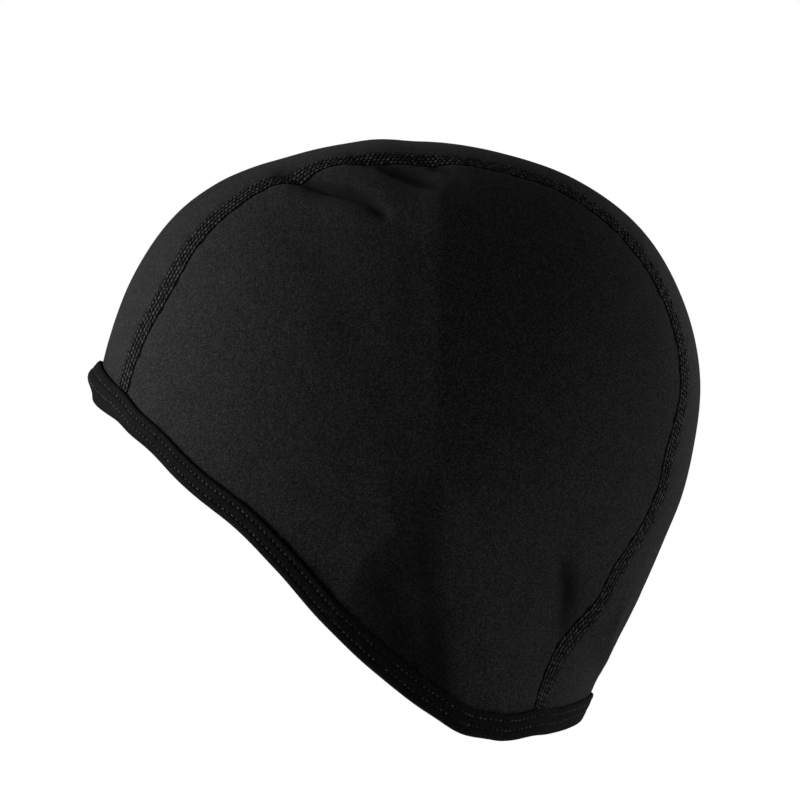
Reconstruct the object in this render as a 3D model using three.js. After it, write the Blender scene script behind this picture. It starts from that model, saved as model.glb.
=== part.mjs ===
// A close-fitting cycling cap of stretch cloth that covers the ears: a centre panel from forehead to
// nape, a side panel over each ear, a flat seam tape of thread where they join, and a folded band sewn
// round the opening. It has the form that it takes when it is worn.
// Millimetres and degrees, +Z up, the forehead towards -Y and the wearer's left ear towards +X.
// The origin is the highest point of the inside of the crown, where the cap sits on the head.
//
// The form is set out round the ear axis, a line along X through both ears. "Turn" is the angle round
// that axis: 0 straight forward, 90 up, 180 straight back, 270 down. "Lean" is the angle from the cap's
// middle plane towards an ear: 0 on the middle plane, 90 at the wearer's left ear, -90 at the right.
import * as THREE from 'three';
import { mergeVertices } from 'three/addons/utils/BufferGeometryUtils.js';

// Driving sizes
const HALF_WIDTH = 77; // from the middle plane to the cloth over an ear
const CLOTH = 1.2; // wall of every panel
const FIT_GAP = 0.35; // clearance between neighbouring pieces
const CROWN_TURN = 83; // turn at which the crown is highest
const SEAM = {
  halfWidth: 3.1,
  shoulder: 2.1, // half width of its raised top
  proud: 0.4, // height of that top above the cloth
  flush: 0.1, // height of its sides above the cloth
  dip: 4, // depth of its lowest full step below the top of the band
  flatTo: 1.2, // height above the band up to which it lies flat
  risenAt: 2.4, // height above the band from which it is raised
  short: 0.8, // share of its last step by which it stops short of the panels' ends
};
const BAND = {
  leg: 0.9, // wall of either leg
  tuck: 2.3, // height of the panels' edges above the bottom of the band
  slotFloor: 1.9, // height of the slot's floor
  fold: 1.6, // height at which the legs turn into the fold
  corner: { inset: 0.2, drop: 0.5 }, // bevel at the top of the outer leg
};
const BULGE = { rise: 2.9, middle: 0.6, height: 0.3, width: 20 }; // the band's fullness over the forehead

// How many steps the faceted solids take
const SEAM_STEPS = 44; // along the crown, between the two ends of the band
const CENTRE_STEPS = 6; // across the centre panel
const SIDE_RINGS = { count: 9, crowding: 1.5 }; // from the rim of a side panel, where they crowd, to the ear
const EDGE_STEPS = 3; // round the opening, between two rows of EDGE

// Sections of the cap round the ear axis. reach: from the axis to the middle plane. roundness: how
// square the section is (2 is an ellipse). seam: half width of the centre panel. Past the nape the
// cap is open, and the rows only carry its sides down to the edge.
const SECTIONS = [
  { turn: 8, reach: 105.6, roundness: 2.1, seam: 35.0 },
  { turn: 20, reach: 106.3, roundness: 2.1, seam: 37.0 },
  { turn: 32, reach: 108.1, roundness: 2.1, seam: 40.0 },
  { turn: 44, reach: 109.2, roundness: 2.1, seam: 38.0 },
  { turn: 53, reach: 107.8, roundness: 2.1, seam: 35.4 },
  { turn: 60, reach: 105.4, roundness: 2.1, seam: 33.0 },
  { turn: 67, reach: 103.1, roundness: 2.12, seam: 32.3 },
  { turn: 75, reach: 101.6, roundness: 2.15, seam: 31.4 },
  { turn: 82, reach: 100.8, roundness: 2.15, seam: 31.6 },
  { turn: 90, reach: 98.9, roundness: 2.15, seam: 31.8 },
  { turn: 105, reach: 98.8, roundness: 2.15, seam: 31.0 },
  { turn: 120, reach: 100.3, roundness: 2.15, seam: 30.2 },
  { turn: 135, reach: 100.5, roundness: 2.15, seam: 31.8 },
  { turn: 150, reach: 97.4, roundness: 2.15, seam: 31.5 },
  { turn: 165, reach: 93.2, roundness: 2.12, seam: 32.6 },
  { turn: 179, reach: 88.1, roundness: 2.1, seam: 37.2 },
  { turn: 190, reach: 85.5, roundness: 2.05, seam: 36.0 },
  { turn: 200, reach: 83.7, roundness: 2.0, seam: 36.4 },
  { turn: 210, reach: 84.2, roundness: 1.92, seam: 38.4 },
  { turn: 220, reach: 86.6, roundness: 1.85, seam: 37.2 },
  { turn: 229, reach: 90.4, roundness: 1.8, seam: 38.4 },
  { turn: 236, reach: 96.9, roundness: 1.8, seam: 42.6 },
  { turn: 244, reach: 106.5, roundness: 1.85, seam: 42.6 },
  { turn: 253, reach: 125, roundness: 1.9, seam: 41.5 },
  { turn: 264, reach: 139, roundness: 1.95, seam: 40.0 },
  { turn: 282, reach: 142, roundness: 2.0, seam: 40.0 },
  { turn: 302, reach: 145, roundness: 2.0, seam: 40.0 },
  { turn: 322, reach: 136, roundness: 2.05, seam: 40.0 },
  { turn: 342, reach: 115, roundness: 2.08, seam: 40.0 },
  { turn: 356, reach: 107, roundness: 2.1, seam: 36.0 },
];

// The lower edge of the band on the wearer's left, from the forehead back to the nape. out: distance
// from the ear axis as seen from the side; a row without it lies on the middle plane. band: height of
// the band there.
const EDGE = [
  { turn: 8.6, band: 13.0 },
  { turn: 6.7, out: 98.4, band: 10.0 },
  { turn: 3.8, out: 91.0, band: 8.4 },
  { turn: -2.6, out: 79.5, band: 7.8 },
  { turn: -20, out: 61.9, band: 7.8 },
  { turn: -39, out: 56.0, band: 8.0 },
  { turn: -60, out: 58.6, band: 8.2 },
  { turn: -78, out: 67.6, band: 8.4 },
  { turn: -91, out: 78.6, band: 8.6 },
  { turn: -98, out: 86.4, band: 8.8 },
  { turn: -104.5, out: 91.3, band: 9.0 },
  { turn: -113, out: 95.8, band: 9.0 },
  { turn: -120.2, band: 10.4 },
];

// Folds, as seen from the side. rise is a fold's height, or below 0 its depth. spread is how far its
// flanks reach, and crest how broad its top or floor is. Its path is a line of points that state how
// far back of the ear axis and how far above it they are, and the share of the rise that it has there.
const FOLDS = [
  // Three pulls below the seam at the front of the crown, and the soft ridges between them
  {
    rise: -1.6, spread: 2.4, crest: 1.6,
    path: [[-43, 86.5, 0.6], [-35, 83.7, 1], [-21, 79.0, 1], [-12, 74.0, 0.5], [0, 66.5, 0]],
  },
  { rise: 1.0, spread: 3.4, crest: 3.0, path: [[-50, 84.5, 0.5], [-42, 82.0, 1], [-32, 78.0, 0]] },
  { rise: 1.0, spread: 3.6, crest: 3.0, path: [[-33, 88.0, 0.6], [-22, 85.5, 1], [-12, 81.0, 0.4]] },
  {
    rise: -1.2, spread: 3.0, crest: 2.2,
    path: [[-20, 91.5, 0.7], [-8, 88.4, 1], [0, 85.0, 0.8], [7, 80.5, 0]],
  },
  { rise: -0.8, spread: 2.6, crest: 2.0, path: [[-2, 91.5, 0.6], [4.5, 88.3, 1], [11, 84.5, 0]] },
  // The crease from being folded flat, down the whole side
  {
    rise: 2.6, spread: 18, crest: 1.2,
    path: [[5.5, 92.0, 0.3], [5.5, 74.0, 1], [5.5, -16.0, 1], [5, -38.0, 0.8], [13, -80.0, 0.2]],
  },
  // The cloth over the ear: a ridge, and the hollow below it
  {
    rise: 3.3, spread: 13, crest: 1.2,
    path: [[5, -17.5, 0.4], [-6.5, -22.5, 1], [-16, -30.5, 1], [-23, -45.0, 0.6]],
  },
  { rise: -1.5, spread: 9, crest: 6, path: [[-4, -38.0, 0.6], [-2, -50.0, 1], [4, -64.0, 0.4]] },
  // Gathers beside the seam above the nape
  {
    rise: -1.4, spread: 3.0, crest: 2.0,
    path: [[42.5, -28.0, 0.3], [44.5, -38.0, 1], [46.5, -50.0, 1], [50, -57.0, 0.4]],
  },
  { rise: 1.0, spread: 2.2, crest: 1.4, path: [[59, -56.0, 0.3], [58.2, -61.0, 1], [57, -69.0, 0]] },
];

// Reads one column of SECTIONS at any turn: a smooth curve through the rows that closes on itself.
function section(column, turn) {
  const first = SECTIONS[0].turn;
  const at = THREE.MathUtils.euclideanModulo(turn - first, 360) + first;
  const row = (k) => {
    const lap = Math.floor(k / SECTIONS.length);
    const found = SECTIONS[THREE.MathUtils.euclideanModulo(k, SECTIONS.length)];
    return { turn: found.turn + 360 * lap, value: found[column] };
  };
  let k = 0;
  while (row(k + 1).turn <= at) k += 1;
  const [before, from, to, after] = [row(k - 1), row(k), row(k + 1), row(k + 2)];
  const span = to.turn - from.turn;
  const slopeFrom = (to.value - before.value) / (to.turn - before.turn);
  const slopeTo = (after.value - from.value) / (after.turn - from.turn);
  const u = (at - from.turn) / span;
  return (2 * u ** 3 - 3 * u ** 2 + 1) * from.value + (u ** 3 - 2 * u ** 2 + u) * span * slopeFrom
    + (3 * u ** 2 - 2 * u ** 3) * to.value + (u ** 3 - u ** 2) * span * slopeTo;
}

// Height of all the folds at a place seen from the side.
function foldRise(back, up) {
  let rise = 0;
  for (const fold of FOLDS) {
    let [nearest, share] = [Infinity, 0];
    for (let k = 0; k + 1 < fold.path.length; k += 1) {
      const [[b0, u0, share0], [b1, u1, share1]] = [fold.path[k], fold.path[k + 1]];
      const along = ((back - b0) * (b1 - b0) + (up - u0) * (u1 - u0)) / ((b1 - b0) ** 2 + (u1 - u0) ** 2);
      const on = THREE.MathUtils.clamp(along, 0, 1);
      const distance = Math.hypot(back - b0 - on * (b1 - b0), up - u0 - on * (u1 - u0));
      if (distance < nearest) [nearest, share] = [distance, THREE.MathUtils.lerp(share0, share1, on)];
    }
    rise += fold.rise * share * Math.exp((fold.crest - Math.hypot(nearest, fold.crest)) / fold.spread);
  }
  return rise;
}

// A point of the cap's outer face. Its distance from the centre follows a superellipse from the reach
// at lean 0 to the half width at lean 90, and the folds add to it.
function face(turn, lean) {
  const [t, l] = [THREE.MathUtils.degToRad(turn), THREE.MathUtils.degToRad(lean)];
  const n = section('roundness', turn);
  const flat = (Math.abs(Math.cos(l)) / section('reach', turn)) ** n;
  const side = (Math.abs(Math.sin(l)) / HALF_WIDTH) ** n;
  let distance = (flat + side) ** (-1 / n);
  distance += foldRise(-distance * Math.cos(l) * Math.cos(t), distance * Math.cos(l) * Math.sin(t));
  const out = distance * Math.cos(l);
  return new THREE.Vector3(distance * Math.sin(l), -out * Math.cos(t), out * Math.sin(t));
}

// The two directions in which the face runs, per degree of turn and per degree of lean.
function tangents(turn, lean) {
  const step = 0.05;
  return [
    face(turn + step, lean).sub(face(turn - step, lean)).divideScalar(2 * step),
    face(turn, lean + step).sub(face(turn, lean - step)).divideScalar(2 * step),
  ];
}

function normal(turn, lean) {
  if (Math.abs(lean) > 89) return new THREE.Vector3(Math.sign(lean), 0, 0);
  const [alongTurn, alongLean] = tangents(turn, lean);
  return alongLean.cross(alongTurn).normalize();
}

// A point at a height above the outer face, or below it if lift is under 0.
function place(turn, lean, lift = 0) {
  return face(turn, lean).addScaledVector(normal(turn, lean), lift);
}

// Lean of the seam on the wearer's left.
function seamLean(turn) {
  const n = section('roundness', turn);
  const half = section('seam', turn);
  const out = section('reach', turn) * (1 - (half / HALF_WIDTH) ** n) ** (1 / n);
  return THREE.MathUtils.radToDeg(Math.atan2(half, out));
}

// Lean at a distance across the seam, towards the ear if it is over 0.
function besideSeam(turn, across) {
  const lean = seamLean(turn);
  return lean + across / tangents(turn, lean)[1].length();
}

// The edge of the band as one closed ring of rows in turn and lean, from the forehead down the
// wearer's left, round the nape and back up the right.
function edgeRing() {
  const left = EDGE.map(({ turn, out, band }) => {
    if (out === undefined) return { turn, lean: 0, band };
    const n = section('roundness', turn);
    const half = HALF_WIDTH * (1 - (out / section('reach', turn)) ** n) ** (1 / n);
    return { turn, lean: THREE.MathUtils.radToDeg(Math.atan2(half, out)), band };
  });
  const right = left.slice(1, -1).reverse().map(({ turn, lean, band }) => ({ turn, lean: -lean, band }));
  return [...left, ...right];
}
const RING = edgeRing();
const NAPE = EDGE.length - 1; // the ring's row at the nape

// A place on the ring, where a whole number is a row of it, with smooth curves between the rows.
function edge(position) {
  const row = (k) => RING[THREE.MathUtils.euclideanModulo(k, RING.length)];
  const k = Math.floor(position);
  const u = position - k;
  const read = (column) => {
    const [a, b, c, d] = [row(k - 1)[column], row(k)[column], row(k + 1)[column], row(k + 2)[column]];
    return b + 0.5 * u * (c - a + u * (2 * a - 5 * b + 4 * c - d + u * (3 * (b - c) + d - a)));
  };
  return { turn: read('turn'), lean: read('lean'), band: read('band') };
}

// The turn and lean of a point at a distance up the cloth from the edge, square to the edge.
function upFromEdge(position, distance) {
  const step = 0.01;
  const at = edge(position);
  const ahead = edge(position + step);
  const behind = edge(position - step);
  const along = face(ahead.turn, ahead.lean).sub(face(behind.turn, behind.lean)).normalize();
  const up = normal(at.turn, at.lean).cross(along);
  const [alongTurn, alongLean] = tangents(at.turn, at.lean);
  const [a, b, c] = [alongTurn.lengthSq(), alongTurn.dot(alongLean), alongLean.lengthSq()];
  const [p, q] = [up.dot(alongTurn), up.dot(alongLean)];
  const share = distance / (a * c - b * b);
  return { turn: at.turn + share * (c * p - b * q), lean: at.lean + share * (a * q - b * p) };
}

// Halves an interval down to the place where a function that rises through it is 0.
function solve(low, high, value) {
  let [from, to] = [low, high];
  for (let k = 0; k < 40; k += 1) {
    const middle = (from + to) / 2;
    if (value(middle) < 0) from = middle;
    else to = middle;
  }
  return (from + to) / 2;
}

// Where a line up from the edge by a distance meets the seam on the wearer's left, at either end.
// distance is a function of the place on the ring. Returns the turn there.
function seamEnd(distance, atNape) {
  const at = (position) => upFromEdge(position, distance(position));
  const beyond = (position) => at(position).lean - seamLean(at(position).turn);
  const position = atNape ? solve(NAPE, NAPE - 3, beyond) : solve(0, 2, beyond);
  return THREE.MathUtils.euclideanModulo(at(position).turn, 360);
}

// Turns at which the seam has a step. It lies flat to a little above the band, and is at its full
// height from a little further on.
function seamTurns() {
  const overBand = (height) => (position) => edge(position).band + height;
  const steps = [() => BAND.tuck, overBand(-SEAM.dip), overBand(SEAM.flatTo), overBand(SEAM.risenAt)];
  const front = steps.map((step) => seamEnd(step, false));
  const nape = steps.map((step) => seamEnd(step, true)).reverse();
  const turns = [...front];
  for (let k = 1; k < SEAM_STEPS; k += 1) {
    turns.push(THREE.MathUtils.lerp(front.at(-1), nape[0], k / SEAM_STEPS));
  }
  return [...turns, ...nape];
}
const SEAM_TURNS = seamTurns();

// Joins rings of points into one closed skin. Each ring is a closed line. The skin closes on itself
// if loop is true, and otherwise its ends are closed by joining each point to its partner across the
// ring. Points that fall together are merged, and the faces are turned to point outwards.
function skin(rings, loop) {
  const count = rings[0].length;
  const triangles = [];
  const quad = (a, b, c, d) => triangles.push([a, b, c], [a, c, d]);
  const spans = loop ? rings.length : rings.length - 1;
  for (let r = 0; r < spans; r += 1) {
    const [here, next] = [rings[r], rings[(r + 1) % rings.length]];
    for (let k = 0; k < count; k += 1) {
      const m = (k + 1) % count;
      quad(here[k], here[m], next[m], next[k]);
    }
  }
  if (!loop) {
    for (const [ring, turned] of [[rings[0], true], [rings.at(-1), false]]) {
      for (let k = 0; k < count / 2 - 1; k += 1) {
        const corners = [ring[k], ring[k + 1], ring[count - 2 - k], ring[count - 1 - k]];
        quad(...(turned ? corners.reverse() : corners));
      }
    }
  }
  const positions = new Float32Array(triangles.flat().flatMap((point) => point.toArray()));
  const loose = new THREE.BufferGeometry();
  loose.setAttribute('position', new THREE.BufferAttribute(positions, 3));
  const geometry = mergeVertices(loose, 1e-3);
  const index = [];
  let volume = 0;
  const corner = new THREE.Vector3();
  for (let k = 0; k < geometry.index.count; k += 3) {
    const ids = [0, 1, 2].map((m) => geometry.index.getX(k + m));
    if (new Set(ids).size < 3) continue;
    index.push(...ids);
    const [a, b, c] = ids.map((id) => corner.fromBufferAttribute(geometry.attributes.position, id).clone());
    volume += a.dot(b.cross(c));
  }
  if (volume < 0) index.reverse();
  geometry.setIndex(index);
  geometry.computeVertexNormals();
  return geometry;
}

// The wall between the outer face and the inner one along a line of turns and leans.
function wall(line) {
  const outer = line.map(({ turn, lean }) => place(turn, lean));
  const inner = line.map(({ turn, lean }) => place(turn, lean, -CLOTH));
  return [...outer, ...inner.reverse()];
}

// The panel from forehead to nape. Its sides follow the seams, and its ends follow the edge, tucked
// into the band.
function centrePanel() {
  const sideLean = (turn) => besideSeam(turn, -SEAM.halfWidth - FIT_GAP);
  const columns = [];
  for (let k = -CENTRE_STEPS / 2; k <= CENTRE_STEPS / 2; k += 1) {
    const share = k / (CENTRE_STEPS / 2);
    const endTurn = (atNape) => {
      if (share === 0) return upFromEdge(atNape ? NAPE : 0, BAND.tuck).turn;
      const short = (position) => {
        const { turn, lean } = upFromEdge(position, BAND.tuck);
        return lean - Math.abs(share) * sideLean(turn);
      };
      const position = atNape ? solve(NAPE, NAPE - 3, short) : solve(0, 2, short);
      return upFromEdge(position, BAND.tuck).turn;
    };
    const [front, nape] = [endTurn(false), endTurn(true) + 360];
    columns.push({ share, front, nape });
  }
  const [first, last] = [SEAM_TURNS[0], SEAM_TURNS.at(-1)];
  const rings = SEAM_TURNS.map((turn) => wall(columns.map(({ share, front, nape }) => {
    const at = THREE.MathUtils.mapLinear(turn, first, last, front, nape);
    return { turn: at, lean: share * sideLean(at) };
  })));
  return skin(rings, false);
}

// The panel over an ear: rings that shrink from its rim to the ear. Its rim follows the seam, and
// below it the edge, tucked into the band.
function sidePanel(side) {
  const rim = SEAM_TURNS.map((turn) => ({ turn, lean: besideSeam(turn, SEAM.halfWidth + FIT_GAP) }));
  const beyond = (position) => {
    const { turn, lean } = upFromEdge(position, BAND.tuck);
    return lean - besideSeam(turn, SEAM.halfWidth + FIT_GAP);
  };
  const from = solve(NAPE, NAPE - 3, beyond);
  const to = solve(0, 2, beyond);
  const corner = (position) => upFromEdge(position, BAND.tuck);
  rim[0] = corner(to);
  rim[rim.length - 1] = { turn: corner(from).turn + 360, lean: corner(from).lean };
  const clear = 0.3; // a band step this near a corner has no point of its own
  for (let k = Math.floor(from * EDGE_STEPS - clear); k >= to * EDGE_STEPS + clear; k -= 1) {
    const { turn, lean } = corner(k / EDGE_STEPS);
    rim.push({ turn: turn + 360, lean });
  }
  const rings = rim.map(({ turn, lean }) => {
    const line = [];
    for (let k = 0; k <= SIDE_RINGS.count; k += 1) {
      const share = (k / SIDE_RINGS.count) ** SIDE_RINGS.crowding;
      line.push({ turn, lean: side * THREE.MathUtils.lerp(lean, 90, share) });
    }
    return wall(line);
  });
  return skin(rings, true);
}

// The raised tape of thread that joins two panels, set between their edges. Its ends stop short of the
// panels' ends.
function seamTape(side) {
  const { halfWidth, shoulder, proud, flush, short } = SEAM;
  const turns = [...SEAM_TURNS];
  turns[0] = THREE.MathUtils.lerp(turns[0], turns[1], short);
  turns[turns.length - 1] = THREE.MathUtils.lerp(turns.at(-1), turns.at(-2), short);
  const rings = turns.map((turn, k) => {
    const lowRings = 3; // rings at either end that are under the band or just above it
    const lowered = k < lowRings || k >= turns.length - lowRings;
    const point = (across, lift) => place(turn, side * besideSeam(turn, across), lift);
    const [edgeLift, crown] = lowered ? [0, 0] : [flush, proud];
    return [
      point(-halfWidth, edgeLift), point(-shoulder, crown), point(shoulder, crown), point(halfWidth, edgeLift),
      point(halfWidth, -CLOTH - edgeLift), point(shoulder, -CLOTH - flush * Math.sign(crown)),
      point(-shoulder, -CLOTH - flush * Math.sign(crown)), point(-halfWidth, -CLOTH - edgeLift),
    ];
  });
  return skin(rings, false);
}

// The folded band round the opening: an outer leg, a rounded fold below, and an inner leg, with the
// panels' edges in the slot between them.
function edgeBand() {
  const { leg, slotFloor, fold, corner } = BAND;
  const outer = FIT_GAP + leg;
  const inner = -CLOTH - FIT_GAP - leg;
  const middle = (outer + inner) / 2;
  const rings = [];
  for (let k = 0; k < RING.length * EDGE_STEPS; k += 1) {
    const position = k / EDGE_STEPS;
    const { turn: edgeTurn, lean: edgeLean, band: top } = edge(position);
    const [low, high] = [0.45 * top, 0.7 * top]; // rows between the fold and the top
    const fullness = edgeTurn > 0 ? BULGE.rise * Math.exp(-((edgeLean / BULGE.width) ** 2)) : 0;
    const point = (up, lift) => {
      const { turn, lean } = upFromEdge(position, up);
      const bulge = fullness * Math.exp(-(((up / top - BULGE.middle) / BULGE.height) ** 2));
      return place(turn, lean, lift > 0 ? lift + bulge : lift);
    };
    rings.push([
      point(top, FIT_GAP), point(top, outer - corner.inset), point(top - corner.drop, outer),
      point(high, outer), point(low, outer), point(fold, outer),
      point(fold / 4, (outer + middle) / 2), point(0, middle), point(fold / 4, (inner + middle) / 2),
      point(fold, inner), point(low, inner), point(top - corner.drop, inner),
      point(top, -CLOTH - FIT_GAP), point(low, -CLOTH - FIT_GAP), point(slotFloor, -CLOTH - FIT_GAP),
      point(slotFloor, FIT_GAP), point(low, FIT_GAP), point(high, FIT_GAP),
    ]);
  }
  return skin(rings, true);
}

const cap = new THREE.Group();
cap.position.copy(place(CROWN_TURN, 0, -CLOTH)).negate();

function add(name, geometry, color, roughness) {
  const mesh = new THREE.Mesh(geometry, new THREE.MeshStandardMaterial({ color, roughness, metalness: 0 }));
  mesh.name = name;
  cap.add(mesh);
}

add('centre_panel', centrePanel(), 0x2a2a2c, 0.85);
add('side_panel_left', sidePanel(1), 0x222224, 0.85);
add('side_panel_right', sidePanel(-1), 0x222224, 0.85);
add('seam_tape_left', seamTape(1), 0x1b1b1d, 0.7);
add('seam_tape_right', seamTape(-1), 0x1b1b1d, 0.7);
add('edge_band', edgeBand(), 0x1e1e20, 0.8);

const model = new THREE.Group();
model.add(cap);

export default model;
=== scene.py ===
# Looks of a close-fitting cycling cap of black stretch cloth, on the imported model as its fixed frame.
# The form's tables and formulas are those of the solids. They are in millimetres round the ear axis,
# and the last step to a mesh turns them to metres in the row's frame.
import math

import bmesh
import bpy
import numpy as np
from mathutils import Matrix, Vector

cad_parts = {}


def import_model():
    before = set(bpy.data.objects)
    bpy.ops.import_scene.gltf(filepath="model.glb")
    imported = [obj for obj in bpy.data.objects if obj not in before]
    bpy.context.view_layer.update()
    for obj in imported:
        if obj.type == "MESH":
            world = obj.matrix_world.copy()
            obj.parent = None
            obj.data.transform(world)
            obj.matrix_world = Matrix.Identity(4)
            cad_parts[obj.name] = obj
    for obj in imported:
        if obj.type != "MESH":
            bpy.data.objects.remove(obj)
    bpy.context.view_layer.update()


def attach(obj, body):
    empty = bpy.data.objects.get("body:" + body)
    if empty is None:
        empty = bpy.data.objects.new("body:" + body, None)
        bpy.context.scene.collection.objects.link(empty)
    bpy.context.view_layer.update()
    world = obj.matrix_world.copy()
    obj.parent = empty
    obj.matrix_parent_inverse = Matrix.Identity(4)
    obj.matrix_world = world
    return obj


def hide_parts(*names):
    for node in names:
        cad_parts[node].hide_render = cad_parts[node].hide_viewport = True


# Sizes shared with the solids, in millimetres and degrees
HALF_WIDTH = 77.0  # from the middle plane to the outer face at the ears
CLOTH = 1.2  # thickness of the panels
FIT_GAP = 0.35  # clearance between one piece and the next
CROWN_TURN = 83.0  # turn at which the crown is highest
SEAM_HALF = 3.1  # half width of the flat seam
TUCK = 2.3  # how far above the edge the panels end, inside the band
BULGE = {"rise": 2.9, "middle": 0.6, "height": 0.3, "width": 20.0}  # the band's fullness in front

# Sections of the cap round the ear axis: turn, reach, roundness, half width of the centre panel
SECTIONS = np.array([
    (8, 105.6, 2.1, 35.0),
    (20, 106.3, 2.1, 37.0),
    (32, 108.1, 2.1, 40.0),
    (44, 109.2, 2.1, 38.0),
    (53, 107.8, 2.1, 35.4),
    (60, 105.4, 2.1, 33.0),
    (67, 103.1, 2.12, 32.3),
    (75, 101.6, 2.15, 31.4),
    (82, 100.8, 2.15, 31.6),
    (90, 98.9, 2.15, 31.8),
    (105, 98.8, 2.15, 31.0),
    (120, 100.3, 2.15, 30.2),
    (135, 100.5, 2.15, 31.8),
    (150, 97.4, 2.15, 31.5),
    (165, 93.2, 2.12, 32.6),
    (179, 88.1, 2.1, 37.2),
    (190, 85.5, 2.05, 36.0),
    (200, 83.7, 2.0, 36.4),
    (210, 84.2, 1.92, 38.4),
    (220, 86.6, 1.85, 37.2),
    (229, 90.4, 1.8, 38.4),
    (236, 96.9, 1.8, 42.6),
    (244, 106.5, 1.85, 42.6),
    (253, 125, 1.9, 41.5),
    (264, 139, 1.95, 40.0),
    (282, 142, 2.0, 40.0),
    (302, 145, 2.0, 40.0),
    (322, 136, 2.05, 40.0),
    (342, 115, 2.08, 40.0),
    (356, 107, 2.1, 36.0),
])
REACH, ROUNDNESS, SEAM = 1, 2, 3

# The band's lower edge on the left side: turn, distance from the ear axis, height of the band.
# A distance of 0 stands for the middle plane.
EDGE = np.array([
    (8.6, 0, 13.0),
    (6.7, 98.4, 10.0),
    (3.8, 91.0, 8.4),
    (-2.6, 79.5, 7.8),
    (-20, 61.9, 7.8),
    (-39, 56.0, 8.0),
    (-60, 58.6, 8.2),
    (-78, 67.6, 8.4),
    (-91, 78.6, 8.6),
    (-98, 86.4, 8.8),
    (-104.5, 91.3, 9.0),
    (-113, 95.8, 9.0),
    (-120.2, 0, 10.4),
])
NAPE = len(EDGE) - 1

# Folds as seen from the side: rise, spread, crest, and a path of (back, up, share of the rise)
FOLDS = [
    (-1.6, 2.4, 1.6, [(-43, 86.5, 0.6), (-35, 83.7, 1), (-21, 79.0, 1), (-12, 74.0, 0.5), (0, 66.5, 0)]),
    (1.0, 3.4, 3.0, [(-50, 84.5, 0.5), (-42, 82.0, 1), (-32, 78.0, 0)]),
    (1.0, 3.6, 3.0, [(-33, 88.0, 0.6), (-22, 85.5, 1), (-12, 81.0, 0.4)]),
    (-1.2, 3.0, 2.2, [(-20, 91.5, 0.7), (-8, 88.4, 1), (0, 85.0, 0.8), (7, 80.5, 0)]),
    (-0.8, 2.6, 2.0, [(-2, 91.5, 0.6), (4.5, 88.3, 1), (11, 84.5, 0)]),
    (2.6, 18, 1.2, [(5.5, 92.0, 0.3), (5.5, 74.0, 1), (5.5, -16.0, 1), (5, -38.0, 0.8), (13, -80.0, 0.2)]),
    (3.3, 13, 1.2, [(5, -17.5, 0.4), (-6.5, -22.5, 1), (-16, -30.5, 1), (-23, -45.0, 0.6)]),
    (-1.5, 9, 6, [(-4, -38.0, 0.6), (-2, -50.0, 1), (4, -64.0, 0.4)]),
    (-1.4, 3.0, 2.0, [(42.5, -28.0, 0.3), (44.5, -38.0, 1), (46.5, -50.0, 1), (50, -57.0, 0.4)]),
    (1.0, 2.2, 1.4, [(59, -56.0, 0.3), (58.2, -61.0, 1), (57, -69.0, 0)]),
]

# The sharp floors of the valleys and edges of the ridges, which are too fine for the solids. The valleys
# also get painted shade.
CREASES = [
    (-2.0, 1.3, 0.9, [(-44, 87.0, 0.5), (-37.4, 85.3, 1), (-30.4, 83.0, 1.2), (-21.8, 80.6, 1.1),
                      (-16.3, 78.0, 1), (-12.2, 74.2, 0.8), (-9, 70.4, 0)]),
    (-2.0, 1.5, 1.1, [(-20, 91.5, 0.3), (-12, 90.0, 0.8), (-6.2, 86.9, 1), (-0.7, 83.9, 0.9),
                      (4, 81.2, 0.6), (12, 75.5, 0)]),
    (-1.2, 1.5, 0.9, [(-2, 91.5, 0.3), (4, 89.6, 1), (8.8, 86.7, 0.8), (14, 82, 0)]),
    (-1.3, 2.2, 1.2, [(41, -29, 0), (44.8, -36, 0.7), (46.3, -43, 1),
                      (45.6, -51, 0.9), (44.6, -58, 0.5), (43, -63, 0)]),
    (1.6, 1.8, 0.5, [(70, -44, 0), (64, -49.5, 0.7), (60, -58, 1), (58.4, -66, 0.9), (57.6, -73, 0.2)]),
]

# Painted shade that moves no point: where the cloth is darkened as in valleys, in front of the crease, and
# the hollow below the ear's ridge
SHADED = [
    (-0.75, 1.0, 8, [(-0.8, -9.7, 0.3), (1.2, -35.5, 0.8), (3.8, -48.4, 1),
                     (5.2, -61.3, 1), (7.4, -74.2, 0.8)]),
    (-0.9, 2.2, 14, [(-6.5, -31.0, 0.6), (-10.5, -41.0, 1), (-8, -52.0, 1), (-1, -65.0, 0.9)]),
]
PAINTED_SHADE_PER_MM = 0.8  # painted shade per millimetre of the valleys' depth

# Grids: places along and across each piece. An inner face has a third of its outer face's columns.
CENTRE_STEPS, CENTRE_HALF = 430, 36
SIDE_SEAM_STEPS, SIDE_EDGE_STEPS, SIDE_RINGS = 460, 240, 84
SEAM_STEPS = 700
BAND_STEPS = 900
INNER_STEP = 3

# Puckers, in millimetres: the pitches of their waves, how far they rise and how far from a seam
# or the band they die away. Beside a seam the cloth is also drawn down to the thread.
PUCKER_PITCHES, PUCKER_RISE, PUCKER_REACH = (8.3, 5.1, 13.7), 0.2, 5
BAND_PUCKER_PITCHES, BAND_PUCKER_RISE, BAND_PUCKER_REACH = (10.1, 6.7, 17.3), 0.22, 6
DRAWN_DOWN, DRAWN_WIDTH = 0.16, 0.8

# The flat seam
SEAM_ROWS = np.array([-0.82, -0.27, 0.27, 0.82])  # rows of stitches, as shares of the half width
SEAM_PITCH = 1.5
SEAM_STITCH = (1.45, 1.1, 0.6)  # length, width and height
SEAM_SLANT = 12  # degrees between a stitch and the seam's run
SEAM_THREAD_LIFT = 0.1  # how far above the cloth a stitch's middle lies
SEAM_WANDER, SEAM_SLIP = 0.12, 0.2  # unevenness of the stitches, across and up, and along
SEAM_END_IN_BAND = 1.5  # how far above the panels' ends the seam starts
SEAM_THREADS_CLEAR = 3.5  # how far from the seam's ends the stitches start
SEAM_COVERED, SEAM_RISING = 5.0, 1.5  # length of its end under the band, and of its rise from there

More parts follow.
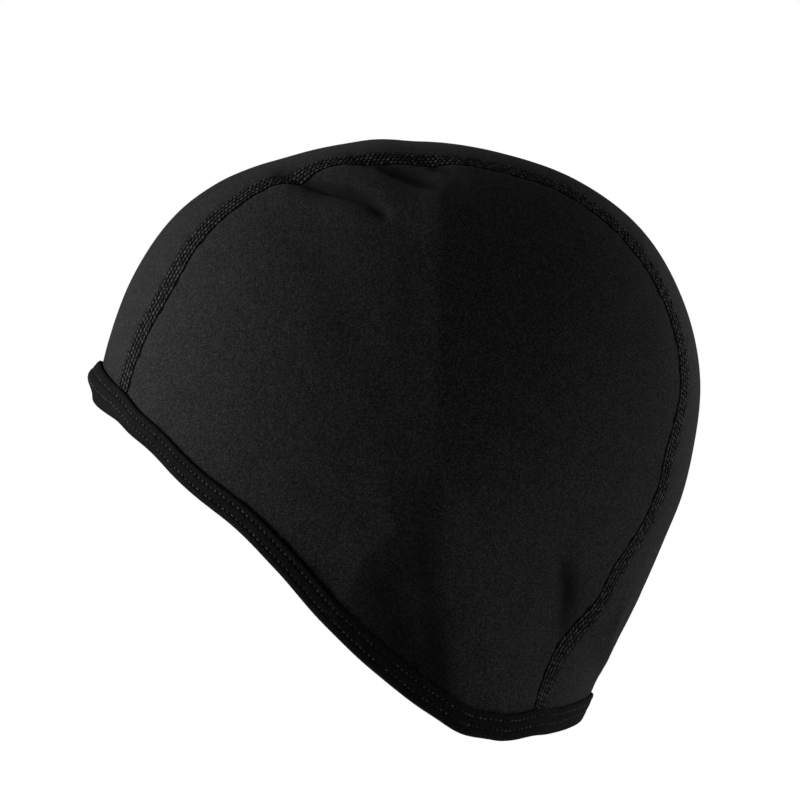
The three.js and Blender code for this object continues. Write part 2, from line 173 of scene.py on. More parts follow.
# The folded band
BAND_ROWS = (2.2, 5.4)  # rows of stitches, below the band's upper edge
BAND_PITCH = 1.8
BAND_STITCH = (1.2, 0.62, 0.5)  # length, width and height
BAND_THREAD_LIFT = 0.5  # how far beyond the clearance a stitch's middle lies
BAND_RISE, BAND_WANDER = 0.1, 0.15  # unevenness of the stitches, up and across
FOLD_START, FOLD_DEPTH = 1.4, 1.9  # where the legs end, above the edge, and how far the fold goes down
BAND_SUNK, BAND_LEG = 0.25, 1.0  # how far a leg sinks into the clearance, and its thickness
GROOVE_DEPTH, GROOVE_WIDTH = 0.4, 0.45  # grooves under the stitches
TOP_ROUND, TOP_ROUND_WIDTH = 0.35, 0.35  # rounding of the upper edge
SLOT_FLOOR, SLOT_CLEAR = 2.1, 0.12  # floor of the slot, above the edge, and its room beside the panels

# How the uv of a closed ring goes on past its last column, in millimetres
RING_CLOSE = 0.8

# The cloth's grain: single loops that catch the light, drawn as coarse as they need to be to show
GRAIN_CELL = (0.3, 0.3, 0.3)

# Camera, from the photograph's scale: 3.1 pixels of 800 to a millimetre on the middle plane
CAMERA_DISTANCE = 1.2
CAMERA_LENS = 167.4
VIEW_MIDDLE = (-6.45, 16.1)  # back of and above the ear axis, in millimetres

# Softboxes: place and size in metres, and power in watts. They face the middle of the cap.
SOFTBOXES = {
    "key": ((0.03, -1.25, 0.3), (0.7, 0.6), 16.4),
    "fill": ((0.7, -0.9, -0.5), (0.5, 0.5), 0.9),
    "back": ((0.12, 1.2, -0.12), (0.3, 0.6), 3.7),
    "rim": ((-1.0, 0.85, 0.1), (0.3, 0.8), 1.8),
}
CAP_MIDDLE = (0, 0.01, -0.09)
ROOM_LIGHT = 0.042  # strength of the room's own light, against 1 for what the camera sees
FLOOR_RADIUS, FLOOR_LEVEL = 0.9, -0.6


def section(column, turn):
    """A column of SECTIONS at any turn: a cubic curve through the rows that closes on itself."""
    turn = np.asarray(turn, float)
    first = SECTIONS[0, 0]
    at = (turn - first) % 360 + first
    turns = np.concatenate([SECTIONS[-2:, 0] - 360, SECTIONS[:, 0], SECTIONS[:2, 0] + 360])
    values = np.concatenate([SECTIONS[-2:, column], SECTIONS[:, column], SECTIONS[:2, column]])
    k = np.clip(np.searchsorted(turns, at, side="right") - 1, 1, len(turns) - 3)
    span = turns[k + 1] - turns[k]
    slope_from = (values[k + 1] - values[k - 1]) / (turns[k + 1] - turns[k - 1])
    slope_to = (values[k + 2] - values[k]) / (turns[k + 2] - turns[k])
    u = (at - turns[k]) / span
    return ((2 * u**3 - 3 * u**2 + 1) * values[k] + (u**3 - 2 * u**2 + u) * span * slope_from
            + (3 * u**2 - 2 * u**3) * values[k + 1] + (u**3 - u**2) * span * slope_to)


def fold_rise(back, up, folds=FOLDS + CREASES):
    """Height of the folds at a place seen from the side: each falls off with its distance."""
    rise = np.zeros(np.shape(back))
    for height, spread, crest, path in folds:
        nearest, share = np.full(rise.shape, np.inf), np.zeros(rise.shape)
        for (b0, u0, share0), (b1, u1, share1) in zip(path, path[1:]):
            length = (b1 - b0) ** 2 + (u1 - u0) ** 2
            on = np.clip(((back - b0) * (b1 - b0) + (up - u0) * (u1 - u0)) / length, 0, 1)
            distance = np.hypot(back - b0 - on * (b1 - b0), up - u0 - on * (u1 - u0))
            share = np.where(distance < nearest, share0 + on * (share1 - share0), share)
            nearest = np.minimum(nearest, distance)
        rise += height * share * np.exp((crest - np.hypot(nearest, crest)) / spread)
    return rise


def smooth_distance(turn, lean):
    """From the centre to the face without its folds: a superellipse from the reach at lean 0 to the
    half width at lean 90."""
    n = section(ROUNDNESS, turn)
    flat = (np.abs(np.cos(np.radians(lean))) / section(REACH, turn)) ** n
    return (flat + (np.abs(np.sin(np.radians(lean))) / HALF_WIDTH) ** n) ** (-1 / n)


def side_view(turn, lean, distance):
    """How far back of the ear axis and how far above it a point at a distance from the centre is."""
    out = distance * np.cos(np.radians(lean))
    return -out * np.cos(np.radians(turn)), out * np.sin(np.radians(turn))


def face(turn, lean):
    """Points of the outer face: the smooth form, raised and lowered by the folds."""
    turn, lean = np.broadcast_arrays(np.asarray(turn, float), np.asarray(lean, float))
    distance = smooth_distance(turn, lean)
    distance = distance + fold_rise(*side_view(turn, lean, distance))
    return np.stack([distance * np.sin(np.radians(lean)), *side_view(turn, lean, distance)], -1)


def painted_shade_depth(turn, lean):
    """Painted shade at a place, from 0 to 1: how deep it lies in the sharp valleys or the shaded hollows.
    """
    turn, lean = np.broadcast_arrays(np.asarray(turn, float), np.asarray(lean, float))
    shaded_folds = [fold for fold in CREASES + SHADED if fold[0] < 0]
    rise = fold_rise(*side_view(turn, lean, smooth_distance(turn, lean)), shaded_folds)
    return np.clip(-PAINTED_SHADE_PER_MM * rise, 0, 1)


def tangents(turn, lean):
    """How the face runs per degree of turn and per degree of lean."""
    step = 0.05
    return ((face(turn + step, lean) - face(turn - step, lean)) / (2 * step),
            (face(turn, lean + step) - face(turn, lean - step)) / (2 * step))


def unit(v):
    """Vectors of length 1 with the same directions."""
    return v / np.maximum(np.linalg.norm(v, axis=-1, keepdims=True), 1e-9)


def normal(turn, lean):
    """Outward normals; at the ears, where all turns meet, they point straight to the side."""
    turn, lean = np.broadcast_arrays(np.asarray(turn, float), np.asarray(lean, float))
    along_turn, along_lean = tangents(turn, lean)
    out = unit(np.cross(along_lean, along_turn))
    at_ear = np.abs(lean) > 89
    out[at_ear] = np.stack([np.sign(lean[at_ear]), 0 * lean[at_ear], 0 * lean[at_ear]], -1)
    return out


def place(turn, lean, lift=0.0):
    """Points at a height above the face."""
    return face(turn, lean) + np.asarray(lift, float)[..., None] * normal(turn, lean)


def seam_lean(turn):
    """Lean of a seam's middle line: where the face is as wide as the table says."""
    n = section(ROUNDNESS, turn)
    half = section(SEAM, turn)
    out = section(REACH, turn) * (1 - (half / HALF_WIDTH) ** n) ** (1 / n)
    return np.degrees(np.arctan2(half, out))


def beside_seam(turn, across):
    """Lean at a distance across the left seam, towards the ear if it is over 0."""
    lean = seam_lean(turn)
    return lean + across / np.linalg.norm(tangents(turn, lean)[1], axis=-1)


def edge_ring():
    """The edge as a closed ring of rows of turn, lean and band height."""
    turn, out, band = EDGE.T
    n = section(ROUNDNESS, turn)
    half = HALF_WIDTH * np.maximum(1 - (out / section(REACH, turn)) ** n, 0) ** (1 / n)
    lean = np.where(out > 0, np.degrees(np.arctan2(half, np.maximum(out, 1e-9))), 0)
    left = np.stack([turn, lean, band], -1)
    return np.concatenate([left, left[-2:0:-1] * (1, -1, 1)])


RING = edge_ring()


def edge(position):
    """Turn, lean and band height at places on the ring, by a smooth curve through its rows."""
    k = np.floor(position).astype(int)
    u = (position - k)[..., None]
    a, b, c, d = (RING[(k + step) % len(RING)] for step in (-1, 0, 1, 2))
    read = b + 0.5 * u * (c - a + u * (2 * a - 5 * b + 4 * c - d + u * (3 * (b - c) + d - a)))
    return read[..., 0], read[..., 1], read[..., 2]


def up_from_edge(position, distance):
    """Turn and lean of points at a distance up the cloth, square to the edge."""
    step = 0.01
    turn, lean, _ = edge(position)
    ahead, behind = edge(position + step), edge(position - step)
    along = unit(face(ahead[0], ahead[1]) - face(behind[0], behind[1]))
    up = np.cross(normal(turn, lean), along)
    along_turn, along_lean = tangents(turn, lean)
    a, b, c = ((x * y).sum(-1) for x, y in
               ((along_turn, along_turn), (along_turn, along_lean), (along_lean, along_lean)))
    p, q = (up * along_turn).sum(-1), (up * along_lean).sum(-1)
    share = distance / (a * c - b * b)
    return turn + share * (c * p - b * q), lean + share * (a * q - b * p)


def solve(low, high, value):
    """Halves intervals down to where a function that rises through them is 0."""
    low, high = np.array(low, float), np.array(high, float)
    for _ in range(40):
        middle = (low + high) / 2
        below = value(middle) < 0
        low, high = np.where(below, middle, low), np.where(below, high, middle)
    return (low + high) / 2


def edge_meets(share, across, distance, at_nape):
    """Position where the line at a distance above the edge reaches a share of the seam's lean. It
    lies within the first rows of the ring, counted from the forehead or from the nape."""
    share = np.abs(np.atleast_1d(np.asarray(share, float)))

    def beyond(position):
        turn, lean = up_from_edge(position, distance)
        return lean - share * beside_seam(turn, across)

    start, far = (NAPE, NAPE - 3) if at_nape else (0, 2)
    return solve(np.full(share.shape, start), np.full(share.shape, far), beyond)


def ripple(along, pitches=PUCKER_PITCHES):
    """An uneven wave along a seam, between -1 and 1: three waves of unlike pitch."""
    return sum(np.sin(2 * np.pi * along / pitch + pitch) for pitch in pitches) / len(pitches)


def lengths(points, axis):
    """Running length along one axis of a grid of points."""
    steps = np.linalg.norm(np.diff(points, axis=axis), axis=-1)
    return np.insert(np.cumsum(steps, axis=axis), 0, 0, axis=axis)


ORIGIN = place(CROWN_TURN, 0.0, -CLOTH)


def grid_object(name, points, uv, close_rows=False, merge=False, painted_shade=None):
    """A mesh from a grid of points in millimetres, with a face between each four neighbours. The
    last column joins the first, and with close_rows the last row does too, and uv has one more
    entry there. merge joins points that fall together. The painted shade of valleys and hollows,
    if given, is kept as an attribute of the points."""
    rows, columns = points.shape[:2]
    r, c = np.meshgrid(np.arange(rows if close_rows else rows - 1), np.arange(columns), indexing="ij")
    corners = [(r, c), (r, c + 1), (r + 1, c + 1), (r + 1, c)]
    faces = np.stack([(i % rows) * columns + j % columns for i, j in corners], -1).reshape(-1, 4)
    flat = ((points - ORIGIN) / 1000).reshape(-1, 3)
    a, b, d = flat[faces[:, 0]], flat[faces[:, 1]], flat[faces[:, 2]]
    if (a * np.cross(b, d)).sum() < 0:
        faces = faces[:, ::-1]
        corners = corners[::-1]
    mesh = bpy.data.meshes.new(name)
    mesh.from_pydata(flat, [], faces)
    layer = mesh.uv_layers.new(name="cloth")
    layer.data.foreach_set("uv", np.stack([uv[i, j] for i, j in corners], -2).reshape(-1))
    if painted_shade is not None:
        layer = mesh.attributes.new("painted_shade", "FLOAT", "POINT")
        layer.data.foreach_set("value", painted_shade.reshape(-1))
    if merge:
        edit_mesh(mesh, lambda held: bmesh.ops.remove_doubles(held, verts=held.verts, dist=1e-6))
    mesh.shade_smooth()
    obj = bpy.data.objects.new(name, mesh)
    bpy.context.scene.collection.objects.link(obj)
    return obj


def edit_mesh(mesh, work):
    """Opens a mesh as joined faces and edges, does the work on it and stores it again."""
    held = bmesh.new()
    held.from_mesh(mesh)
    work(held)
    held.to_mesh(mesh)
    held.free()


def close_ends(obj):
    """Fills the open ends of a wall, which lie hidden in the band."""
    def fill(held):
        open_edges = [line for line in held.edges if line.is_boundary]
        bmesh.ops.holes_fill(held, edges=open_edges, sides=0)

    edit_mesh(obj.data, fill)
    return obj


def both_faces(outer):
    """Values along a wall's outer face in each row, then back along its inner face."""
    return np.concatenate([outer, outer[:, ::-INNER_STEP]], axis=1)


def wall_grid(turn, lean, lift):
    """The outer face of a wall along each row, then its inner face, one cloth's thickness below."""
    outer = place(turn, lean, lift)
    inner_turn, inner_lean, inner_lift = (grid[:, ::-INNER_STEP] for grid in (turn, lean, lift))
    inner = place(inner_turn, inner_lean, inner_lift - CLOTH)
    return np.concatenate([outer, inner], axis=1)


def centre_cloth():
    """The panel from forehead to nape: along the seams by across them, puckered beside them."""
    share = np.arange(-CENTRE_HALF, CENTRE_HALF + 1) / CENTRE_HALF
    side = -SEAM_HALF - FIT_GAP
    ends = []
    for at_nape in (False, True):
        position = edge_meets(share, side, TUCK, at_nape)
        ends.append(up_from_edge(position, TUCK)[0] + (360 if at_nape else 0))
    u = np.linspace(0, 1, CENTRE_STEPS)[:, None]
    turn = ends[0] + u * (ends[1] - ends[0])
    width = beside_seam(turn, side)
    lean = share * width
    base = face(turn, lean)
    along, across = lengths(base, 0), lengths(base, 1)
    inset = np.minimum(across, across[:, -1:] - across)
    lift = seam_lift(along, inset)
    middle = slice(CENTRE_HALF, CENTRE_HALF + 1)
    uv = np.stack([along[:, middle] + 0 * across, across - across[:, middle]], -1)
    uv = np.concatenate([both_faces(uv), uv[:, :1]], axis=1)
    # Painted shade in the valleys and hollows, carried on the points to darken the cloth's colour
    shade_depth = both_faces(painted_shade_depth(turn, lean))
    return close_ends(grid_object("centre_cloth", wall_grid(turn, lean, lift), uv, painted_shade=shade_depth))


def seam_lift(along, inset):
    """The cloth beside a seam: drawn down to the thread, and puckered along it."""
    drawn = DRAWN_DOWN * np.exp(-(inset / DRAWN_WIDTH) ** 2)
    return -drawn + PUCKER_RISE * ripple(along) * np.exp(-inset / PUCKER_REACH)


def side_cloth(name, side):
    """The panel over an ear: round its rim by in to the ear, puckered beside its seam and band."""
    across = SEAM_HALF + FIT_GAP
    front, nape = (edge_meets(1, across, TUCK, at_nape)[0] for at_nape in (False, True))
    front_turn = up_from_edge(np.array(front), TUCK)[0]
    nape_turn = up_from_edge(np.array(nape), TUCK)[0] + 360
    seam_turn = np.linspace(front_turn, nape_turn, SIDE_SEAM_STEPS, endpoint=False)
    position = np.linspace(nape, front, SIDE_EDGE_STEPS, endpoint=False)
    edge_turn, edge_lean = up_from_edge(position, TUCK)
    rim_turn = np.concatenate([seam_turn, edge_turn + 360])[:, None]
    rim_lean = np.concatenate([beside_seam(seam_turn, across), edge_lean])[:, None]
    share = (np.linspace(0, 1, SIDE_RINGS) ** 1.35)[None, :]  # rings lie closer near the rim
    turn = rim_turn + 0 * share
    lean = rim_lean + (90 - rim_lean) * share
    base = face(turn, lean)
    along, inset = lengths(base, 0)[:, :1], lengths(base, 1)
    band = edge(position)[2][:, None]
    by_seam, by_edge = slice(None, SIDE_SEAM_STEPS), slice(SIDE_SEAM_STEPS, None)
    above = np.maximum(inset[by_edge] - (band - TUCK), 0)
    puckers = BAND_PUCKER_RISE * ripple(along[by_edge], BAND_PUCKER_PITCHES)
    lift = np.concatenate([
        seam_lift(along[by_seam], inset[by_seam]),
        puckers * np.exp(-above / BAND_PUCKER_REACH),
    ])
    points = wall_grid(turn, side * lean, lift)
    from_ear = inset[:, -1:] - inset
    spin = np.radians(turn)
    uv = np.stack([from_ear * np.cos(spin), from_ear * np.sin(spin)], -1)
    uv = np.concatenate([both_faces(uv), uv[:, :1]], axis=1)
    uv = np.concatenate([uv, uv[:1]])
    # Painted shade in the valleys and hollows, carried on the points to darken the cloth's colour
    shade_depth = both_faces(painted_shade_depth(turn, lean))
    return grid_object(name, points, uv, close_rows=True, merge=True, painted_shade=shade_depth)


def seam_line():
    """Even steps of turn along a seam, from inside the band to inside the band, and the seam's
    running length at each."""
    start = TUCK + SEAM_END_IN_BAND
    ends = [up_from_edge(edge_meets(1, 0, start, at_nape), start)[0][0] for at_nape in (False, True)]
    turn = np.linspace(ends[0], ends[1] + 360, SEAM_STEPS)
    length = lengths(face(turn, seam_lean(turn)), 0)
    return turn, length


def clear_of_band(length):
    """1 where the seam is clear of the band and 0 under it, by distance from the nearer end."""
    near = np.minimum(length, length[-1] - length)
    return np.clip((near - SEAM_COVERED) / SEAM_RISING, 0, 1)


def seam_ground(name, side):
    """The pressed edges of the cloth under the seam's threads: a low arch across, along the seam."""
    turn, length = seam_line()
    across = np.array([-1.25, -1.0, -0.55, -0.28, 0, 0.28, 0.55, 1.0, 1.25]) * SEAM_HALF
    arch = np.array([-0.35, -0.05, 0.12, 0.02, 0.14, 0.02, 0.12, -0.05, -0.35])
    pressed = 0.1  # how far the ground is sunk under the band
    clear = clear_of_band(length)[:, None]
    turns = turn[:, None]
    lean = side * beside_seam(turns, across)
    outer = place(turns + 0 * across, lean, arch * clear - pressed * (1 - clear))
    inner = place(turns + 0 * across, lean, -CLOTH - arch * clear + pressed * (1 - clear))[:, ::-1]
    points = np.concatenate([outer, inner], axis=1)
    ring = lengths(points, 1)
    ring = np.concatenate([ring, ring[:, -1:] + RING_CLOSE], axis=1)
    uv = np.stack([length[:, None] + 0 * ring, ring], -1)
    return close_ends(grid_object(name, points, uv))


def frames(turn, lean, lift):
    """Points above the face with their directions along the turn, across it and outward."""
    out = normal(turn, lean)
    along = unit(tangents(turn, lean)[0])
    return place(turn, lean, lift), along, np.cross(out, along), out


def beads(name, centres, along, across, out, size):
    """Many small stitches in one mesh: an ellipsoid of length, width and height at each centre."""
    around, rings = 6, 5
    a = np.linspace(0, 2 * np.pi, around, endpoint=False)[None, :]
    tip = 0.02  # angle at which the first and last rings lie, next to the ends of the ellipsoid
    b = np.linspace(tip, np.pi - tip, rings)[:, None]
    shape = np.stack([size[0] / 2 * np.cos(b) + 0 * a, size[1] / 2 * np.sin(b) * np.cos(a),
                      size[2] / 2 * np.sin(b) * np.sin(a)], -1).reshape(-1, 3)
    axes = np.stack([along, across, out], -2)
    points = centres[:, None] + np.einsum("pk,skd->spd", shape, axes)
    r, c = np.meshgrid(np.arange(rings - 1), np.arange(around), indexing="ij")
    quads = np.stack([r * around + c, r * around + (c + 1) % around,
                      (r + 1) * around + (c + 1) % around, (r + 1) * around + c], -1).reshape(-1, 4)
    step = rings * around
    faces = (quads[None] + step * np.arange(len(centres))[:, None, None]).reshape(-1, 4)
    mesh = bpy.data.meshes.new(name)
    mesh.from_pydata(((points - ORIGIN) / 1000).reshape(-1, 3), [], faces)
    mesh.shade_smooth()
    obj = bpy.data.objects.new(name, mesh)
    bpy.context.scene.collection.objects.link(obj)
    return obj


def seam_threads(name, side):
    """The flat seam's stitches: four rows of them along the outside, and four along the inside."""
    turn, length = seam_line()
    marks = np.arange(SEAM_THREADS_CLEAR, length[-1] - SEAM_THREADS_CLEAR, SEAM_PITCH)
    parts = []
    for face_side, height in ((1, SEAM_THREAD_LIFT), (-1, -CLOTH - SEAM_THREAD_LIFT)):
        for k, row in enumerate(SEAM_ROWS * SEAM_HALF):
            uneven = ripple(marks, (2.3 + 0.4 * k, 3.7, 6.1))
            at = np.interp(marks + (k % 2) * SEAM_PITCH / 2 + SEAM_SLIP * uneven, length, turn)
            lean = side * beside_seam(at, row + SEAM_WANDER * uneven[::-1])
            parts.append(frames(at, lean, height + face_side * SEAM_WANDER * uneven))
    centres, along, across, out = (np.concatenate(group) for group in zip(*parts))
    slant = np.radians(SEAM_SLANT) * side
    turned = along * math.cos(slant) + across * math.sin(slant)
    return beads(name, centres, turned, np.cross(out, turned), out, SEAM_STITCH)


def band_section(top):
    """The band's section as rows of (up the cloth, above the cloth): outer leg, fold, inner leg,
    and the slot between. Two grooves in each leg lie under the rows of stitches."""
    up = np.linspace(top, FOLD_START, 26)
    groove = sum(np.exp(-((up - (top - row)) / GROOVE_WIDTH) ** 2) for row in BAND_ROWS)
    edge_round = np.exp(-((top - up) / TOP_ROUND_WIDTH) ** 2)
    crown = FIT_GAP - BAND_SUNK + BAND_LEG - GROOVE_DEPTH * groove - TOP_ROUND * edge_round
    outer = np.stack([up, crown], -1)
    turn = np.linspace(0, np.pi, 11)[1:-1]
    middle = -CLOTH / 2
    reach = crown[-1] - middle
    fold = np.stack([FOLD_START - FOLD_DEPTH * np.sin(turn), middle + reach * np.cos(turn)], -1)
    inner = np.stack([up[::-1], 2 * middle - crown[::-1]], -1)
    rows = (top, top * 0.6, SLOT_FLOOR)
    slot = np.array([(row, -CLOTH - SLOT_CLEAR) for row in rows]
                    + [(row, SLOT_CLEAR) for row in rows[::-1]])
    return np.concatenate([outer, fold, inner, slot])


def band_bulge(position, up, top):
    """The band's fullness over the forehead, as in the solids."""
    turn, lean, _ = edge(position)
    full = np.where(turn > 0, BULGE["rise"] * np.exp(-(lean / BULGE["width"]) ** 2), 0)
    return full * np.exp(-(((up / top - BULGE["middle"]) / BULGE["height"]) ** 2))


def band_point(position, up, lift):
    """Points of the band: up the cloth from the edge and above the face, with the bulge added."""
    top = edge(position)[2]
    turn, lean = up_from_edge(position, up)
    lift = np.where(lift > 0, lift + band_bulge(position, up, top), lift)
    return place(turn, lean, lift)


def band_cloth():
    """The folded band: its section carried round the opening."""
    position = np.linspace(NAPE, NAPE + len(RING), BAND_STEPS, endpoint=False)
    top = edge(position)[2]
    profile = np.stack([band_section(h) for h in top])
    up, lift = profile[..., 0], profile[..., 1]
    at = position[:, None] + 0 * up
    points = band_point(at, up, lift)
    ring = lengths(points, 1)
    ring = np.concatenate([ring, ring[:, -1:] + RING_CLOSE], axis=1)
    along = lengths(points[:, :1], 0)
    along = np.concatenate([along, along[-1:] + along[1:2]])
    ring = np.concatenate([ring, ring[:1]])
    uv = np.stack([along + 0 * ring, ring], -1)
    return grid_object("band_cloth", points, uv, close_rows=True)


def band_threads():
    """The band's stitches: two rows of them outside, and two inside."""
    dense = np.linspace(0, len(RING), 4000)
    length = lengths(face(*edge(dense)[:2]), 0)
    marks = np.arange(0, length[-1] - BAND_PITCH / 2, BAND_PITCH)
    parts = []
    for row in BAND_ROWS:
        for outside in (True, False):
            position = np.interp(marks, length, dense)
            up = edge(position)[2] - row
            uneven = ripple(marks, (4.1 + row / 9, 7.7, 2.9))
            if outside:
                lift = FIT_GAP + BAND_THREAD_LIFT + BAND_RISE * uneven
            else:
                lift = -CLOTH - FIT_GAP - BAND_THREAD_LIFT - BAND_RISE * uneven
            up = up + BAND_WANDER * uneven[::-1]
            here = band_point(position, up, lift)
            along = unit(band_point(position + 0.01, up, lift) - here)
            turn, lean = up_from_edge(position, up)
            out = normal(turn, lean)
            across = unit(np.cross(out, along))
            parts.append((here, along, across, np.cross(along, across)))
    centres, along, across, out = (np.concatenate(group) for group in zip(*parts))
    return beads("band_threads", centres, along, across, out, BAND_STITCH)


def linear(code):
    """A hex colour as the linear values that a shader takes."""
    parts = [int(code[k:k + 2], 16) / 255 for k in (0, 2, 4)]
    return [*(p / 12.92 if p <= 0.04045 else ((p + 0.055) / 1.055) ** 2.4 for p in parts), 1.0]


def node(tree, kind, settings=None, inputs=None):
    """Adds a node, sets its properties, and gives each input its value or link."""
    made = tree.nodes.new(kind)
    for key, value in (settings or {}).items():
        setattr(made, key, value)
    for key, value in (inputs or {}).items():
        if isinstance(value, bpy.types.NodeSocket):
            tree.links.new(value, made.inputs[key])
        else:
            made.inputs[key].default_value = value
    return made


def maths(tree, operation, first, second=0.0):
    """The result of a sum on one or two values or links."""
    return node(tree, "ShaderNodeMath", {"operation": operation}, {0: first, 1: second}).outputs[0]


def new_material(name):
    """An empty node material and its tree."""
    material = bpy.data.materials.new(name)
    material.use_nodes = True
    material.node_tree.nodes.clear()
    return material, material.node_tree


def knit_height(tree, pitch):
    """A fine slanting grid of loops from the cloth's own coordinates, 0 to 1."""
    uv = node(tree, "ShaderNodeUVMap", {"uv_map": "cloth"}).outputs[0]
    split = node(tree, "ShaderNodeSeparateXYZ", inputs={0: uv})
    turn = 2 * math.pi / pitch
    u, v = (maths(tree, "MULTIPLY", split.outputs[axis], turn) for axis in (0, 1))
    rising = maths(tree, "SINE", maths(tree, "ADD", u, v))
    falling = maths(tree, "SINE", maths(tree, "SUBTRACT", u, v))
    grid = maths(tree, "MULTIPLY", rising, falling)
    return uv, maths(tree, "ADD", maths(tree, "MULTIPLY", grid, 0.5), 0.5)


def tone_ramp(tree, factor, dark, light):
    """A ramp between two tones, each given as its place on the ramp and its hex colour."""
    ramp = node(tree, "ShaderNodeValToRGB", inputs={"Fac": factor})
    for element, (position, code) in zip(ramp.color_ramp.elements, (dark, light)):
        element.position = position
        element.color = linear(code)
    return ramp.outputs[0]


def cloth_material(name, dark, light, pitch, roughness, sheen, shine, patch_scale):
    """Warp-knitted stretch cloth: fine loops, some of which catch the light, with a soft bloom at
    grazing angles. Its tone is a sum of the loops, a fine grain and broad patches, and painted shade
    darkens it in valleys and hollows. pitch is in millimetres and patch_scale in patches to a
    millimetre."""
    loop_share, grain_share, patch_share, base_tone = 0.45, 0.75, 0.2, 0.15
    grain_mean = 0.33  # the mean of a square of even noise
    painted_shade_strength = 0.85  # how much darker the painted shade makes the floors of valleys
    material, tree = new_material(name)
    uv, loops = knit_height(tree, pitch)
    cell = node(tree, "ShaderNodeVectorMath", {"operation": "SNAP"}, {0: uv, 1: GRAIN_CELL}).outputs[0]
    grain = node(tree, "ShaderNodeTexWhiteNoise", {"noise_dimensions": "2D"}, {"Vector": cell})
    patches = node(tree, "ShaderNodeTexNoise", inputs={"Vector": uv, "Scale": patch_scale, "Detail": 2.0})
    sparks = maths(tree, "POWER", grain.outputs[0], 2.0)
    uneven = maths(tree, "MULTIPLY", maths(tree, "SUBTRACT", sparks, grain_mean), grain_share)
    tone = maths(tree, "ADD", maths(tree, "MULTIPLY", loops, loop_share), uneven)
    tone = maths(tree, "ADD", tone, maths(tree, "MULTIPLY", patches.outputs[0], patch_share))
    tone = maths(tree, "ADD", tone, base_tone)
    tones = tone_ramp(tree, tone, (0.12, dark), (1.0, light))
    # Painted shade: the colour is darkened where the points lie in valleys and hollows
    painted_shade = node(tree, "ShaderNodeAttribute", {"attribute_name": "painted_shade"}).outputs["Fac"]
    unshaded_share = maths(tree, "SUBTRACT", 1.0, maths(tree, "MULTIPLY", painted_shade, painted_shade_strength))
    colour = node(tree, "ShaderNodeVectorMath", {"operation": "SCALE"},
                  {0: tones, "Scale": unshaded_share}).outputs[0]
    bump = node(tree, "ShaderNodeBump", inputs={"Strength": 0.6, "Distance": 0.00012, "Height": tone})
    shader = node(tree, "ShaderNodeBsdfPrincipled", inputs={
        "Base Color": colour, "Roughness": roughness, "IOR": 1.5, "Specular IOR Level": shine,
        "Sheen Weight": sheen, "Sheen Roughness": 0.5, "Sheen Tint": (1, 1, 1, 1),
        "Normal": bump.outputs[0]})
    node(tree, "ShaderNodeOutputMaterial", inputs={"Surface": shader.outputs[0]})
    return material


def thread_material():
    """Textured polyester thread: matt black, twisted finely, with single stitches that catch the light.
    The scales are in patches to a metre: the twist is 0.4 mm and the tones change every 1.4 mm."""
    material, tree = new_material("polyester_thread")
    where = node(tree, "ShaderNodeTexCoord").outputs["Object"]
    twist = node(tree, "ShaderNodeTexNoise", inputs={"Vector": where, "Scale": 2600.0, "Detail": 1.0})
    bump = node(tree, "ShaderNodeBump",
                inputs={"Strength": 0.4, "Distance": 0.0001, "Height": twist.outputs[0]})
    stitches = node(tree, "ShaderNodeTexNoise", inputs={"Vector": where, "Scale": 700.0, "Detail": 1.0})
    colour = tone_ramp(tree, stitches.outputs[0], (0.42, "08080a"), (0.62, "4a4a4e"))
    shader = node(tree, "ShaderNodeBsdfPrincipled", inputs={
        "Base Color": colour, "Roughness": 0.65, "IOR": 1.5, "Specular IOR Level": 0.25,
        "Sheen Weight": 0.02, "Normal": bump.outputs[0]})
    node(tree, "ShaderNodeOutputMaterial", inputs={"Surface": shader.outputs[0]})
    return material


def finish_piece(obj, material, replaced=None):
    """Gives a piece its material and its body, and hides the solid that it stands for, if any."""
    obj.data.materials.append(material)
    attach(obj, "root")
    if replaced:
        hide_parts(replaced)
    return obj


def row_point(back, up):
    """A place back of and above the ear axis, in metres in the row's frame."""
    return (back - ORIGIN[1]) / 1000, (up - ORIGIN[2]) / 1000


def add_camera():
    """A long lens level with the cap, on its left side."""
    data = bpy.data.cameras.new("camera")
    data.lens = CAMERA_LENS
    camera = bpy.data.objects.new("camera", data)
    y, z = row_point(*VIEW_MIDDLE)
    camera.location = (CAMERA_DISTANCE, y, z)
    camera.rotation_euler = (math.pi / 2, 0, math.pi / 2)
    bpy.context.scene.collection.objects.link(camera)
    bpy.context.scene.camera = camera


def add_softbox(name, where, size, power):
    """An area light that faces the middle of the cap."""
    data = bpy.data.lights.new(name, "AREA")
    data.shape = "RECTANGLE"
    data.size, data.size_y = size
    data.energy = power
    light = bpy.data.objects.new(name, data)
    light.location = where
    aim = Vector(CAP_MIDDLE) - light.location
    light.rotation_euler = aim.to_track_quat("-Z", "Y").to_euler()
    bpy.context.scene.collection.objects.link(light)


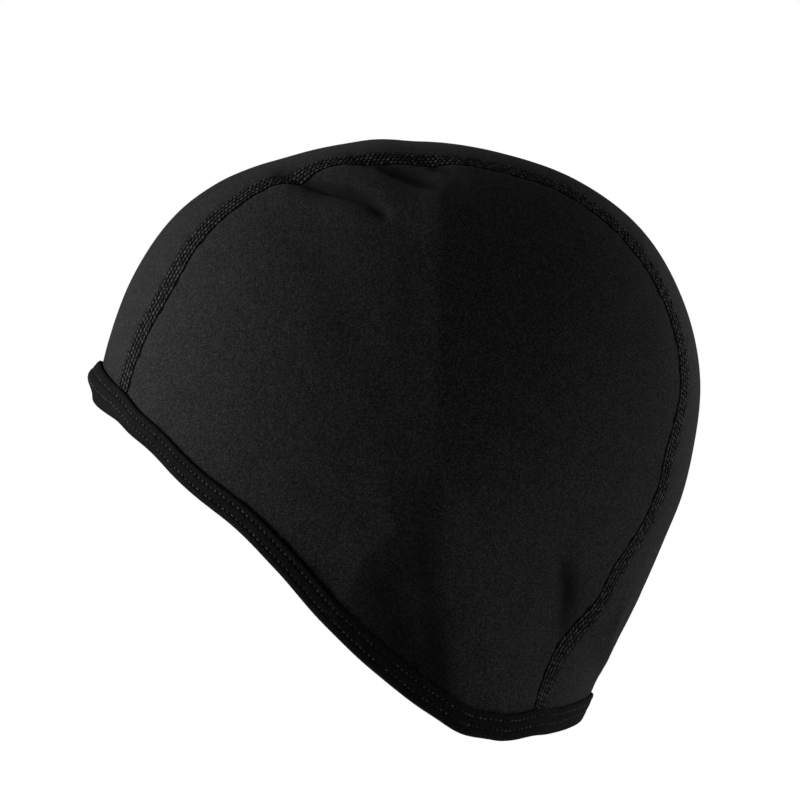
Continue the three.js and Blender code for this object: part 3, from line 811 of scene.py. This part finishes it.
def add_studio():
    """A pale room that gives little light of its own, four softboxes, and a pale floor."""
    world = bpy.data.worlds.new("studio")
    world.use_nodes = True
    tree = world.node_tree
    tree.nodes.clear()
    white = (1, 1, 1, 1)
    seen = node(tree, "ShaderNodeBackground", inputs={"Color": white, "Strength": 1.0})
    lit = node(tree, "ShaderNodeBackground", inputs={"Color": white, "Strength": ROOM_LIGHT})
    path = node(tree, "ShaderNodeLightPath")
    mix = node(tree, "ShaderNodeMixShader",
               inputs={0: path.outputs["Is Camera Ray"], 1: lit.outputs[0], 2: seen.outputs[0]})
    node(tree, "ShaderNodeOutputWorld", inputs={"Surface": mix.outputs[0]})
    bpy.context.scene.world = world
    bpy.context.scene.view_settings.view_transform = "Standard"
    for name, (where, size, power) in SOFTBOXES.items():
        add_softbox(name, where, size, power)
    add_floor()


def add_floor():
    """A matt pale disc well below the cap, which is held up."""
    bpy.ops.mesh.primitive_circle_add(vertices=96, radius=FLOOR_RADIUS, fill_type="NGON",
                                      location=(0, 0, FLOOR_LEVEL))
    floor = bpy.context.object
    floor.name = "floor"
    material, tree = new_material("pale_floor")
    shader = node(tree, "ShaderNodeBsdfPrincipled",
                  inputs={"Base Color": linear("e8e8e6"), "Roughness": 0.8})
    node(tree, "ShaderNodeOutputMaterial", inputs={"Surface": shader.outputs[0]})
    floor.data.materials.append(material)


def main():
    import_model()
    add_camera()
    add_studio()
    # Warp knit of the panels: a dull black with a fine grain and a faint bloom
    body = cloth_material("black_stretch_knit", dark="060606", light="434345", pitch=0.64,
                          roughness=0.75, sheen=0.036, shine=0.08, patch_scale=0.09)
    # Stretch binding of the band: the deepest black, matt and almost without a bloom
    band = cloth_material("black_binding", dark="020202", light="202021", pitch=0.9,
                          roughness=0.8, sheen=0.005, shine=0.08, patch_scale=0.45)
    # Cloth pressed flat under the seam's stitches: dark and quite matt, so that the threads stand out
    ground = cloth_material("seam_cloth", dark="050505", light="1e1e1f", pitch=0.5,
                            roughness=0.9, sheen=0.0, shine=0.1, patch_scale=0.45)
    thread = thread_material()
    centre = finish_piece(centre_cloth(), body, "centre_panel")
    for name, side in (("left", 1), ("right", -1)):
        panel = side_cloth("side_cloth_" + name, side)
        cloth = finish_piece(panel, body, "side_panel_" + name)
        finish_piece(seam_ground("seam_ground_" + name, side), ground, "seam_tape_" + name)
        finish_piece(seam_threads("seam_threads_" + name, side), thread)
    finish_piece(band_cloth(), band, "edge_band")
    finish_piece(band_threads(), thread)


main()
